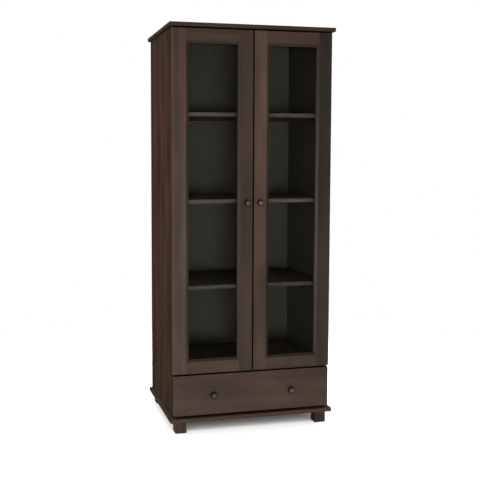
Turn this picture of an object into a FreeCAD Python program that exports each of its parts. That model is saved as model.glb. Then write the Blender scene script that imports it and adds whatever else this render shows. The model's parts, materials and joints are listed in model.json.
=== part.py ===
# Bookcase with two framed glass doors above one drawer, on four block feet.
# Millimetres, +Z up. The front faces -Y, and the origin is the middle of the footprint on the floor.
import FreeCAD
import Part
import math
import os
import Sketcher

# Driving dimensions
SIZES = {
    "overall_height": 1900,
    "board_width": 800,
    "board_depth": 560,
    "board_thickness": 18,
    "board_round": 1.5,
    "edge_chamfer": 0.6,
    "side_overhang": 14,
    "front_overhang": 12,
    "back_thickness": 4,
    "back_inset": 3,
    "foot_height": 55,
    "foot_size": 53.5,
    "foot_side_setback": 11.5,
    "foot_end_setback": 5,
    "door_thickness": 20,
    "door_gap": 2,
    "door_lap": 8,
    "top_reveal": 6,
    "meeting_reveal": 7,
    "drawer_reveal": 8,
    "bottom_reveal": 10,
    "outer_stile_width": 76,
    "meeting_stile_width": 73,
    "rail_width": 68,
    "bevel_width": 13,
    "bevel_depth": 5,
    "rabbet_width": 9,
    "rabbet_depth": 10,
    "tenon_length": 30,
    "tenon_thickness": 7,
    "tenon_shoulder": 16,
    "glass_thickness": 4,
    "glass_clearance": 1,
    "bead_clearance": 0.2,
    "knob_inset": 28,
    "knob_length": 24,
    "knob_radius": 16,
    "knob_foot_radius": 9,
    "knob_face_radius": 10.5,
    "knob_neck_length": 12,
    "knob_rim": 3,
    "knob_neck_curve": 8,
    "knob_head_curve": 8,
    "knob_screw_radius": 2,
    "knob_screw_grip": 12,
    "shelf_first_rise": 399,
    "shelf_pitch": 405,
    "shelf_setback": 24,
    "shelf_clearance": 1,
    "pin_radius": 2.5,
    "pin_reach": 9,
    "pin_inset": 45,
    "pin_seat_width": 9,
    "pin_seat_height": 3,
    "dowel_radius": 4,
    "dowel_shallow": 12,
    "dowel_deep": 23,
    "dowel_inset": 60,
    "cam_radius": 7.5,
    "cam_depth": 12.5,
    "cam_reach": 34,
    "cam_bolt_radius": 3.5,
    "cam_inset": 100,
    "nail_radius": 0.9,
    "nail_head_radius": 2.2,
    "nail_head": 1,
    "nail_length": 24,
    "drawer_front_height": 192,
    "drawer_front_inset": 2,
    "drawer_knob_rise": 93,
    "drawer_rear_gap": 54,
    "drawer_height": 150,
    "drawer_lift": 10,
    "drawer_side": 14,
    "drawer_side_gap": 5,
    "drawer_bottom": 4,
    "drawer_bottom_rise": 10,
    "drawer_groove": 5,
    "drawer_dowel_radius": 3,
    "drawer_dowel_spread": 32,
    "runner_height": 16,
    "runner_depth": 12.5,
    "runner_setback": 10,
    "runner_rear_gap": 30,
    "runner_clearance": 0.3,
    "screw_radius": 2,
    "screw_head_radius": 3.8,
    "screw_head": 2,
    "screw_length": 14,
    "hinge_end": 112,
    "hinge_middle": 907,
    "cup_radius": 17.5,
    "cup_depth": 11.6,
    "cup_wall": 0.8,
    "cup_floor": 1,
    "cup_inset": 22.5,
    "flange_start": 20,
    "flange_width": 13,
    "flange_length": 56,
    "flange_thickness": 1.2,
    "flange_screw": 22,
    "pivot_depth": 2.6,
    "arm_pivot": 32,
    "cup_pivot": 13,
    "pivot_radius": 1.3,
    "pivot_clearance": 0.05,
    "link_sag": 4.5,
    "link_half_width": 2.4,
    "link_plate": 1.5,
    "link_side": 6.2,
    "arm_half_width": 3.4,
    "arm_cheek": 1.5,
    "arm_half_height": 5.5,
    "arm_length": 48,
    "plate_start": 22,
    "plate_length": 26,
    "plate_half_height": 7,
    "plate_flange": 2,
    "plate_flange_width": 16,
    "plate_flange_length": 48,
    "plate_screw": 16,
}

document = FreeCAD.newDocument("glass_door_bookcase")
sheet = document.addObject("Spreadsheet::Sheet", "sizes")
for row, (alias, value) in enumerate(SIZES.items(), 1):
    sheet.set(f"A{row}", alias)
    sheet.set(f"B{row}", str(value))
    sheet.setAlias(f"B{row}", alias)
document.recompute()

# Planes of the case, each worked out from the driving dimensions
CASE_HALF = "(sizes.board_width / 2 - sizes.side_overhang)"
INNER_HALF = f"({CASE_HALF} - sizes.board_thickness)"
DOOR_FRONT = "((sizes.knob_length + sizes.front_overhang - sizes.board_depth) / 2)"
DOOR_BACK = f"({DOOR_FRONT} + sizes.door_thickness)"
CASE_FRONT = f"({DOOR_BACK} + sizes.door_gap)"
BOARD_FRONT = f"({DOOR_FRONT} - sizes.front_overhang)"
CASE_BACK = f"({BOARD_FRONT} + sizes.board_depth - sizes.back_thickness)"
CASE_DEPTH = f"({CASE_BACK} - {CASE_FRONT})"
CASE_BOTTOM = "(sizes.foot_height + sizes.board_thickness)"
CASE_TOP = "(sizes.overall_height - sizes.board_thickness)"
DRAWER_BOTTOM = f"({CASE_BOTTOM} + sizes.bottom_reveal)"
DRAWER_TOP = f"({DRAWER_BOTTOM} + sizes.drawer_front_height)"
DOOR_BOTTOM = f"({DRAWER_TOP} + sizes.drawer_reveal)"
DOOR_TOP = f"({CASE_TOP} - sizes.top_reveal)"
DOOR_WIDTH = f"({CASE_HALF} - sizes.meeting_reveal / 2)"
FLOOR_TOP = f"({DOOR_BOTTOM} + sizes.door_lap)"
PANEL_MIDDLE = f"({CASE_HALF} - sizes.board_thickness / 2)"
FLOOR_MIDDLE = f"({FLOOR_TOP} - sizes.board_thickness / 2)"
DOOR_MIDDLE = f"(({DOOR_BOTTOM} + {DOOR_TOP}) / 2)"

SIDES = {"left": -1, "right": 1}
AXES = {
    "x": FreeCAD.Vector(1, 0, 0),
    "-x": FreeCAD.Vector(-1, 0, 0),
    "y": FreeCAD.Vector(0, 1, 0),
    "-y": FreeCAD.Vector(0, -1, 0),
    "z": FreeCAD.Vector(0, 0, 1),
    "-z": FreeCAD.Vector(0, 0, -1),
}
sub_parts = {}


def place(thing, x, y, z):
    thing.setExpression("Placement.Base.x", x)
    thing.setExpression("Placement.Base.y", y)
    thing.setExpression("Placement.Base.z", z)


def box(name, length, width, height, x, y, z):
    solid = document.addObject("Part::Box", name)
    solid.setExpression("Length", length)
    solid.setExpression("Width", width)
    solid.setExpression("Height", height)
    place(solid, x, y, z)
    return solid


def cylinder(name, radius, length, x, y, z, axis):
    """A round bar that starts at the point and runs along the axis."""
    solid = document.addObject("Part::Cylinder", name)
    turn = FreeCAD.Rotation(AXES["z"], AXES[axis])
    solid.Placement = FreeCAD.Placement(FreeCAD.Vector(), turn)
    solid.setExpression("Radius", radius)
    solid.setExpression("Height", length)
    place(solid, x, y, z)
    return solid


def fuse(name, pieces):
    joined = document.addObject("Part::MultiFuse", name)
    joined.Shapes = pieces
    return joined


def carve(name, base, tools):
    """The base with every tool taken out of it."""
    result = document.addObject("Part::Cut", name)
    result.Base = base
    result.Tool = tools[0] if len(tools) == 1 else fuse(f"{name}_tools", tools)
    return result


def overlap(name, base, tool):
    shared = document.addObject("Part::Common", name)
    shared.Base = base
    shared.Tool = tool
    return shared


def group(name, pieces):
    members = document.addObject("Part::Compound", name)
    members.Links = pieces
    return members


def keep(label, thing):
    thing.Label = label
    sub_parts[label] = thing


def origin_plane(body, role):
    return next(plane for plane in body.Origin.OriginFeatures if plane.Role == role)


def flat_sketch(body, name, plane="XY_Plane"):
    sketch = body.newObject("Sketcher::SketchObject", name)
    sketch.AttachmentSupport = [(origin_plane(body, plane), "")]
    sketch.MapMode = "FlatFace"
    return sketch


def closed_outline(sketch, points):
    """Straight lines from each point to the next and back to the first, which is held at the origin."""
    corners = [FreeCAD.Vector(*point, 0) for point in points]
    count = len(corners)
    for index in range(count):
        sketch.addGeometry(Part.LineSegment(corners[index], corners[(index + 1) % count]), False)
    for index in range(count):
        sketch.addConstraint(Sketcher.Constraint("Coincident", index, 2, (index + 1) % count, 1))
    sketch.addConstraint(Sketcher.Constraint("Coincident", 0, 1, -1, 1))


def drive(sketch, driven):
    """Constraints whose values follow the driving dimensions."""
    for constraint, expression in driven:
        index = sketch.addConstraint(constraint)
        sketch.setExpression(f"Constraints[{index}]", expression)


def ease_edges(body, pad, edge):
    """Every edge of a padded blank eased by a small chamfer or a small round."""
    document.recompute()
    edges = [f"Edge{number + 1}" for number in range(len(pad.Shape.Edges))]
    if edge == "round":
        ease = body.newObject("PartDesign::Fillet", f"{body.Name}_ease")
        ease.Base = (pad, edges)
        ease.setExpression("Radius", "sizes.board_round")
    else:
        ease = body.newObject("PartDesign::Chamfer", f"{body.Name}_ease")
        ease.Base = (pad, edges)
        ease.setExpression("Size", "sizes.edge_chamfer")
    body.Tip = ease


def board(name, length, width, height, x, y, z, edge="chamfer"):
    """A rectangular piece of wood with all its edges eased."""
    body = document.addObject("PartDesign::Body", name)
    sketch = flat_sketch(body, f"{name}_outline")
    closed_outline(sketch, ((0, 0), (9, 0), (9, 9), (0, 9)))
    for index in (0, 2):
        sketch.addConstraint(Sketcher.Constraint("Horizontal", index))
        sketch.addConstraint(Sketcher.Constraint("Vertical", index + 1))
    driven = (
        (Sketcher.Constraint("DistanceX", 0, 1, 0, 2, 9), length),
        (Sketcher.Constraint("DistanceY", 1, 1, 1, 2, 9), width),
    )
    drive(sketch, driven)
    pad = body.newObject("PartDesign::Pad", f"{name}_pad")
    pad.Profile = sketch
    pad.setExpression("Length", height)
    ease_edges(body, pad, edge)
    place(body, x, y, z)
    return body


def screw(name, shank_radius, shank_length, head_radius, head_height, x, y, z, axis):
    """A screw whose shank runs along the axis from the point, with its head behind the point."""
    back = axis[1:] if axis.startswith("-") else f"-{axis}"
    shank = cylinder(f"{name}_shank", shank_radius, shank_length, x, y, z, axis)
    head = cylinder(f"{name}_head", head_radius, head_height, x, y, z, back)
    return fuse(name, [shank, head])


def from_outside(sign, distance):
    """X of a point at a distance in from a side panel's outer face."""
    return f"({sign} * ({CASE_HALF} - {distance}))"


def strip_start(sign, distance, width):
    """X of the low end of a strip that starts at a distance in from a side panel's outer face."""
    if sign < 0:
        return f"({distance} - {CASE_HALF})"
    return f"({CASE_HALF} - {distance} - {width})"


def outwards(sign):
    return "-x" if sign < 0 else "x"


# Tools that are taken out of the boards, by the piece that they belong to
cuts = {name: [] for name in ("top", "bottom", "left", "right", "floor", "back")}

# Dowels: upright ones in the ends of the side panels, flat ones in the ends of the cabinet floor
dowels = []
dowel_rows = {
    "front": f"({CASE_FRONT} + sizes.dowel_inset)",
    "middle": f"(({CASE_FRONT} + {CASE_BACK}) / 2)",
    "rear": f"({CASE_BACK} - sizes.dowel_inset)",
}
dowel_length = "(sizes.dowel_shallow + sizes.dowel_deep)"
for side, sign in SIDES.items():
    for spot, y in dowel_rows.items():
        x = f"({sign} * {PANEL_MIDDLE})"
        top_start = f"({CASE_TOP} - sizes.dowel_deep)"
        bottom_start = f"({CASE_BOTTOM} - sizes.dowel_shallow)"
        floor_start = f"({sign} * ({INNER_HALF} - sizes.dowel_deep))"
        ends = {
            "top": ("sizes.dowel_radius", x, top_start, "z"),
            "bottom": ("sizes.dowel_radius", x, bottom_start, "z"),
            "floor": ("sizes.dowel_radius", floor_start, FLOOR_MIDDLE, outwards(sign)),
        }
        for end, (radius, start_x, start_z, axis) in ends.items():
            dowel = cylinder(f"dowel_{end}_{side}_{spot}", radius, dowel_length, start_x, y, start_z, axis)
            dowels.append(dowel)
            cuts[end].append(dowel)
            cuts[side].append(dowel)
keep("case_dowels", group("case_dowels", dowels))

# Cam fittings: a bolt in the top or bottom board and a disc in the side panel that draws it tight
cam_discs = []
cam_bolts = []
cam_rows = {
    "front": f"({CASE_FRONT} + sizes.cam_inset)",
    "rear": f"({CASE_BACK} - sizes.cam_inset)",
}
bolt_length = "(sizes.cam_reach + sizes.dowel_shallow)"
for side, sign in SIDES.items():
    for spot, y in cam_rows.items():
        ends = {
            "top": (f"({CASE_TOP} - sizes.cam_reach)", "z"),
            "bottom": (f"({CASE_BOTTOM} + sizes.cam_reach)", "-z"),
        }
        for end, (z, axis) in ends.items():
            x = f"({sign} * {PANEL_MIDDLE})"
            name = f"{end}_{side}_{spot}"
            bolt = cylinder(f"cam_bolt_{name}", "sizes.cam_bolt_radius", bolt_length, x, y, z, axis)
            face = f"({sign} * {INNER_HALF})"
            disc = cylinder(
                f"cam_blank_{name}", "sizes.cam_radius", "sizes.cam_depth", face, y, z, outwards(sign)
            )
            cam_bolts.append(bolt)
            cam_discs.append(carve(f"cam_disc_{name}", disc, [bolt]))
            cuts[end].append(bolt)
            cuts[side].extend([bolt, disc])
keep("cam_discs", group("cam_discs", cam_discs))
keep("cam_bolts", group("cam_bolts", cam_bolts))

# Nails that hold the back panel to the side panels
nails = []
nail_count = 5
nail_rise = f"(({CASE_TOP} - {CASE_BOTTOM}) / {nail_count})"
for side, sign in SIDES.items():
    for index in range(nail_count):
        z = f"({CASE_BOTTOM} + {nail_rise} * {index + 0.5})"
        nail_x = f"({sign} * {PANEL_MIDDLE})"
        nail_y = f"({CASE_BACK} + sizes.back_thickness - sizes.nail_head)"
        nail = screw(
            f"nail_{side}_{index}", "sizes.nail_radius", "(sizes.nail_length - sizes.nail_head)",
            "sizes.nail_head_radius", "sizes.nail_head", nail_x, nail_y, z, "-y",
        )
        nails.append(nail)
        cuts[side].append(nail)
        cuts["back"].append(nail)
keep("back_panel_nails", group("back_panel_nails", nails))

# Feet, each held to the bottom board by a bolt
foot_bolts = []
foot_rows = {
    "front": f"({DOOR_FRONT} + sizes.foot_end_setback)",
    "rear": f"({CASE_BACK} - sizes.foot_end_setback - sizes.foot_size)",
}
for row_name, y in foot_rows.items():
    for side, sign in SIDES.items():
        x = strip_start(sign, "sizes.foot_side_setback", "sizes.foot_size")
        label = f"foot_{row_name}_{side}"
        block = board(f"{label}_block", "sizes.foot_size", "sizes.foot_size", "sizes.foot_height", x, y, "0")
        bolt = cylinder(
            f"{label}_bolt", "sizes.dowel_radius", "(sizes.foot_height - sizes.dowel_shallow)",
            f"({x} + sizes.foot_size / 2)", f"({y} + sizes.foot_size / 2)", "2 * sizes.dowel_shallow", "z",
        )
        foot_bolts.append(bolt)
        cuts["bottom"].append(bolt)
        keep(label, carve(label, block, [bolt]))
keep("foot_bolts", group("foot_bolts", foot_bolts))

# Shelves, each lying on four pins
pins = []
pin_rows = {
    "front": f"({CASE_FRONT} + sizes.shelf_setback + sizes.pin_inset)",
    "rear": f"({CASE_BACK} - sizes.pin_inset)",
}
shelf_depth = f"({CASE_DEPTH} - sizes.shelf_setback - sizes.shelf_clearance)"
shelf_width = f"(2 * ({INNER_HALF} - sizes.shelf_clearance))"
for step, level in enumerate(("lower", "middle", "upper")):
    shelf_top = f"({FLOOR_TOP} + sizes.shelf_first_rise + {step} * sizes.shelf_pitch)"
    shelf_under = f"({shelf_top} - sizes.board_thickness)"
    shelf = board(
        f"shelf_{level}", shelf_width, shelf_depth, "sizes.board_thickness",
        f"(sizes.shelf_clearance - {INNER_HALF})", f"({CASE_FRONT} + sizes.shelf_setback)", shelf_under,
    )
    keep(f"shelf_{level}", shelf)
    for side, sign in SIDES.items():
        for spot, y in pin_rows.items():
            name = f"pin_{level}_{side}_{spot}"
            stem = cylinder(
                f"{name}_stem", "sizes.pin_radius", "(2 * sizes.pin_reach)",
                f"({sign} * ({INNER_HALF} - sizes.pin_reach))", y,
                f"({shelf_under} - sizes.pin_radius)", outwards(sign),
            )
            seat = box(
                f"{name}_seat", "sizes.pin_reach", "sizes.pin_seat_width", "sizes.pin_seat_height",
                strip_start(sign, "sizes.board_thickness", "sizes.pin_reach"),
                f"({y} - sizes.pin_seat_width / 2)", f"({shelf_under} - sizes.pin_seat_height)",
            )
            pin = fuse(name, [stem, seat])
            pins.append(pin)
            cuts[side].append(stem)
keep("shelf_pins", group("shelf_pins", pins))

# Drawer runners: a wooden bar screwed to each side panel
BOX_BOTTOM = f"({DRAWER_BOTTOM} + sizes.drawer_lift)"
BOX_HALF = f"({INNER_HALF} - sizes.drawer_side_gap)"
BOX_LENGTH = f"({CASE_BACK} - sizes.drawer_rear_gap - {DOOR_BACK})"
RUNNER_BOTTOM = f"({BOX_BOTTOM} + (sizes.drawer_height - sizes.runner_height) / 2)"
RUNNER_FRONT = f"({CASE_FRONT} + sizes.runner_setback)"
runner_length = f"({CASE_DEPTH} - sizes.runner_setback - sizes.runner_rear_gap)"
runner_screws = []
for side, sign in SIDES.items():
    runner = board(
        f"runner_bar_{side}", "sizes.runner_depth", runner_length, "sizes.runner_height",
        strip_start(sign, "sizes.board_thickness", "sizes.runner_depth"), RUNNER_FRONT, RUNNER_BOTTOM,
    )
    tools = []
    for index in range(3):
        name = f"runner_screw_{side}_{index}"
        fixing = screw(
            name, "sizes.screw_radius", "(sizes.runner_depth - sizes.screw_head + sizes.screw_length)",
            "sizes.screw_head_radius", "sizes.screw_head",
            f"({sign} * ({INNER_HALF} - sizes.runner_depth + sizes.screw_head))",
            f"({RUNNER_FRONT} + {runner_length} * {(index + 0.5) / 3:.4f})",
            f"({RUNNER_BOTTOM} + sizes.runner_height / 2)", outwards(sign),
        )
        tools.append(fixing)
    runner_screws.extend(tools)
    cuts[side].extend(tools)
    keep(f"drawer_runner_{side}", carve(f"drawer_runner_{side}", runner, tools))
keep("runner_screws", group("runner_screws", runner_screws))


# Concealed hinges
HINGE_HEIGHTS = {
    "lower": f"({DOOR_BOTTOM} + sizes.hinge_end)",
    "middle": f"({DOOR_BOTTOM} + sizes.hinge_middle)",
    "upper": f"({DOOR_TOP} - sizes.hinge_end)",
}
PIVOT_Y = f"({DOOR_BACK} - sizes.pivot_depth)"
LINK_SPAN = "(sizes.arm_pivot - sizes.cup_pivot)"
LINK_CENTRE = f"({LINK_SPAN}^2 / (8 * sizes.link_sag) - sizes.link_sag / 2)"


def hinge_link(name, x, y, z):
    """A flat plate curved along an arc, with a pivot hole at each end, that dips towards the door's face."""
    span = SIZES["arm_pivot"] - SIZES["cup_pivot"]
    sag = SIZES["link_sag"]
    half = SIZES["link_half_width"]
    rise = span**2 / (8 * sag) - sag / 2
    middle = rise + sag
    spread = math.asin(span / 2 / middle)
    down = -math.pi / 2
    centre = FreeCAD.Vector(span / 2, rise, 0)
    far_end = FreeCAD.Vector(span, 0, 0)
    up = FreeCAD.Vector(0, 0, 1)
    body = document.addObject("PartDesign::Body", name)
    sketch = flat_sketch(body, f"{name}_outline")
    outline = (
        (centre, middle + half, down - spread, down + spread),
        (centre, middle - half, down - spread, down + spread),
        (FreeCAD.Vector(), half, down - spread - math.pi, down - spread),
        (far_end, half, down + spread, down + spread + math.pi),
    )
    for point, radius, start, end in outline:
        sketch.addGeometry(Part.ArcOfCircle(Part.Circle(point, up, radius), start, end), False)
    for point in (FreeCAD.Vector(), far_end):
        sketch.addGeometry(Part.Circle(point, up, SIZES["pivot_radius"]), False)
    for first, first_end, second, second_end in ((2, 2, 0, 1), (2, 1, 1, 1), (0, 2, 3, 1), (1, 2, 3, 2)):
        sketch.addConstraint(Sketcher.Constraint("Tangent", first, first_end, second, second_end))
    sketch.addConstraint(Sketcher.Constraint("Coincident", 0, 3, 1, 3))
    sketch.addConstraint(Sketcher.Constraint("Coincident", 2, 3, -1, 1))
    sketch.addConstraint(Sketcher.Constraint("PointOnObject", 3, 3, -1))
    sketch.addConstraint(Sketcher.Constraint("Coincident", 4, 3, 2, 3))
    sketch.addConstraint(Sketcher.Constraint("Coincident", 5, 3, 3, 3))
    sketch.addConstraint(Sketcher.Constraint("Equal", 4, 5))
    driven = (
        (Sketcher.Constraint("DistanceX", -1, 1, 3, 3, span), LINK_SPAN),
        (Sketcher.Constraint("Radius", 2, half), "sizes.link_half_width"),
        (Sketcher.Constraint("DistanceY", -1, 1, 0, 3, rise), LINK_CENTRE),
        (Sketcher.Constraint("Radius", 4, half / 2), "sizes.pivot_radius + sizes.pivot_clearance"),
    )
    drive(sketch, driven)
    pad = body.newObject("PartDesign::Pad", f"{name}_pad")
    pad.Profile = sketch
    pad.setExpression("Length", "sizes.link_plate")
    place(body, x, y, z)
    return body


plates = []
arms = []
arm_pins = []
plate_screws = []
cup_seats = {side: [] for side in SIDES}
for side, sign in SIDES.items():
    cups = []
    cup_pins = []
    cup_screws = []
    links = []
    for level, z in HINGE_HEIGHTS.items():
        name = f"hinge_{side}_{level}"
        arm_x = from_outside(sign, "sizes.arm_pivot")
        cup_x = from_outside(sign, "sizes.cup_pivot")
        centre_x = from_outside(sign, "sizes.cup_inset")

        # Pivot pins: one across the arm's cheeks and the link plates, one across the cup
        pin_half = "(sizes.link_side + sizes.link_plate)"
        arm_pin = cylinder(
            f"{name}_arm_pin", "sizes.pivot_radius", f"(2 * {pin_half})", arm_x, PIVOT_Y,
            f"({z} - {pin_half})", "z",
        )
        arm_pins.append(arm_pin)
        pan_start = f"({DOOR_BACK} - sizes.cup_depth)"
        pin_bar = cylinder(
            f"{name}_pin_bar", "sizes.pivot_radius", "2 * sizes.cup_radius", cup_x, PIVOT_Y,
            f"({z} - sizes.cup_radius)", "z",
        )
        pin_reach = cylinder(
            f"{name}_pin_reach", "sizes.cup_radius - sizes.cup_wall / 2", "sizes.cup_depth", centre_x,
            pan_start, z, "y",
        )
        cup_pin = overlap(f"{name}_cup_pin", pin_bar, pin_reach)
        cup_pins.append(cup_pin)

        # The arm: a channel with two cheeks, rounded where it carries the pin
        bar = box(
            f"{name}_arm_bar", "2 * sizes.arm_half_width", "sizes.arm_length + sizes.pivot_depth",
            "2 * sizes.arm_half_height", strip_start(sign, "(sizes.arm_pivot - sizes.arm_half_width)",
            "2 * sizes.arm_half_width"), PIVOT_Y, f"({z} - sizes.arm_half_height)",
        )
        nose = cylinder(
            f"{name}_arm_nose", "sizes.arm_half_width", "2 * sizes.arm_half_height", arm_x, PIVOT_Y,
            f"({z} - sizes.arm_half_height)", "z",
        )
        slot_width = "(2 * sizes.arm_half_width - sizes.arm_cheek)"
        slot = box(
            f"{name}_arm_slot", slot_width, "sizes.arm_length + 4 * sizes.arm_half_width",
            "2 * (sizes.arm_half_height - sizes.arm_cheek)",
            strip_start(sign, "(sizes.arm_pivot - sizes.arm_half_width)", slot_width),
            f"({PIVOT_Y} - 2 * sizes.arm_half_width)", f"({z} - sizes.arm_half_height + sizes.arm_cheek)",
        )
        arms.append(carve(f"{name}_arm", fuse(f"{name}_arm_blank", [bar, nose]), [slot, arm_pin]))

        # The mounting plate: a block under the arm on a flange that two screws hold to the side panel
        block_depth = "(sizes.arm_pivot - sizes.arm_half_width - sizes.board_thickness)"
        block = box(
            f"{name}_block", block_depth, "sizes.plate_length", "2 * sizes.plate_half_height",
            strip_start(sign, "sizes.board_thickness", block_depth),
            f"({CASE_FRONT} + sizes.plate_start)", f"({z} - sizes.plate_half_height)",
        )
        flange_y = f"({CASE_FRONT} + sizes.plate_start + (sizes.plate_length - sizes.plate_flange_width) / 2)"
        flange = box(
            f"{name}_block_flange", "sizes.plate_flange", "sizes.plate_flange_width",
            "sizes.plate_flange_length", strip_start(sign, "sizes.board_thickness", "sizes.plate_flange"),
            flange_y, f"({z} - sizes.plate_flange_length / 2)",
        )
        fixings = []
        for end, step in (("low", "-"), ("high", "+")):
            fixing = screw(
                f"{name}_plate_screw_{end}", "sizes.screw_radius", "sizes.screw_length",
                "sizes.screw_head_radius", "sizes.screw_head",
                from_outside(sign, "(sizes.board_thickness + sizes.plate_flange)"),
                f"({flange_y} + sizes.plate_flange_width / 2)", f"({z} {step} sizes.plate_screw)",
                outwards(sign),
            )
            fixings.append(fixing)
        plate_screws.extend(fixings)
        cuts[side].extend(fixings)
        plates.append(carve(f"{name}_plate", fuse(f"{name}_plate_blank", [block, flange]), fixings))

        # The cup: a shallow round pan let into the door's back, with a flange for two screws
        pan = cylinder(f"{name}_pan", "sizes.cup_radius", "sizes.cup_depth", centre_x, pan_start, z, "y")
        rim = box(
            f"{name}_rim", "sizes.flange_width", "sizes.flange_thickness", "sizes.flange_length",
            strip_start(sign, "sizes.flange_start", "sizes.flange_width"), DOOR_BACK,
            f"({z} - sizes.flange_length / 2)",
        )
        hollow = cylinder(
            f"{name}_hollow", "sizes.cup_radius - sizes.cup_wall", "sizes.cup_depth + sizes.flange_thickness",
            centre_x, f"({pan_start} + sizes.cup_floor)", z, "y",
        )
        fixings = []
        for end, step in (("low", "-"), ("high", "+")):
            fixing = screw(
                f"{name}_cup_screw_{end}", "sizes.screw_radius", "sizes.screw_length",
                "sizes.screw_head_radius", "sizes.screw_head",
                from_outside(sign, "(sizes.flange_start + sizes.flange_width / 2)"),
                f"({DOOR_BACK} + sizes.flange_thickness)", f"({z} {step} sizes.flange_screw)", "-y",
            )
            fixings.append(fixing)
        cup_screws.extend(fixings)
        cups.append(carve(f"{name}_cup", fuse(f"{name}_cup_blank", [pan, rim]), [hollow, cup_pin] + fixings))
        cup_seats[side].extend([pan] + fixings)

        # Two link plates, one outside each cheek of the arm
        low_x = cup_x if sign < 0 else arm_x
        links.append(hinge_link(f"{name}_link_high", low_x, PIVOT_Y, f"({z} + sizes.link_side)"))
        links.append(hinge_link(f"{name}_link_low", low_x, PIVOT_Y, f"({z} - {pin_half})"))
    keep(f"hinge_cups_{side}", group(f"hinge_cups_{side}", cups))
    keep(f"hinge_cup_pins_{side}", group(f"hinge_cup_pins_{side}", cup_pins))
    keep(f"hinge_cup_screws_{side}", group(f"hinge_cup_screws_{side}", cup_screws))
    keep(f"hinge_links_{side}", group(f"hinge_links_{side}", links))
keep("hinge_plates", group("hinge_plates", plates))
keep("hinge_arms", group("hinge_arms", arms))
keep("hinge_arm_pins", group("hinge_arm_pins", arm_pins))
keep("hinge_plate_screws", group("hinge_plate_screws", plate_screws))

# Case boards, with the seats of everything that goes into them
top_blank = board(
    "top_board_blank", "sizes.board_width", "sizes.board_depth", "sizes.board_thickness",
    "-sizes.board_width / 2", BOARD_FRONT, CASE_TOP, "round",
)
keep("top_board", carve("top_board", top_blank, cuts["top"]))
bottom_blank = board(
    "bottom_board_blank", "sizes.board_width", "sizes.board_depth", "sizes.board_thickness",
    "-sizes.board_width / 2", BOARD_FRONT, "sizes.foot_height", "round",
)
keep("bottom_board", carve("bottom_board", bottom_blank, cuts["bottom"]))
for side, sign in SIDES.items():
    panel = board(
        f"side_blank_{side}", "sizes.board_thickness", CASE_DEPTH, f"{CASE_TOP} - {CASE_BOTTOM}",
        strip_start(sign, "0", "sizes.board_thickness"), CASE_FRONT, CASE_BOTTOM,
    )
    keep(f"side_panel_{side}", carve(f"side_panel_{side}", panel, cuts[side]))
floor_blank = board(
    "floor_blank", f"2 * {INNER_HALF}", CASE_DEPTH, "sizes.board_thickness",
    f"-{INNER_HALF}", CASE_FRONT, f"{FLOOR_TOP} - sizes.board_thickness",
)
keep("cabinet_floor", carve("cabinet_floor", floor_blank, cuts["floor"]))
back_blank = box(
    "back_blank", f"2 * ({CASE_HALF} - sizes.back_inset)", "sizes.back_thickness",
    f"{CASE_TOP} - {CASE_BOTTOM}", f"sizes.back_inset - {CASE_HALF}", CASE_BACK, CASE_BOTTOM,
)
keep("back_panel", carve("back_panel", back_blank, cuts["back"]))


def bend(start, end, radius):
    """The short arc of that radius that runs anticlockwise from start to end."""
    chord = end - start
    left = FreeCAD.Vector(-chord.y, chord.x, 0).normalize()
    rise = math.sqrt(radius**2 - (chord.Length / 2) ** 2)
    centre = start + chord * 0.5 + left * rise
    angles = [math.atan2(point.y - centre.y, point.x - centre.x) for point in (start, end)]
    return Part.ArcOfCircle(Part.Circle(centre, AXES["z"], radius), *angles)


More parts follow.
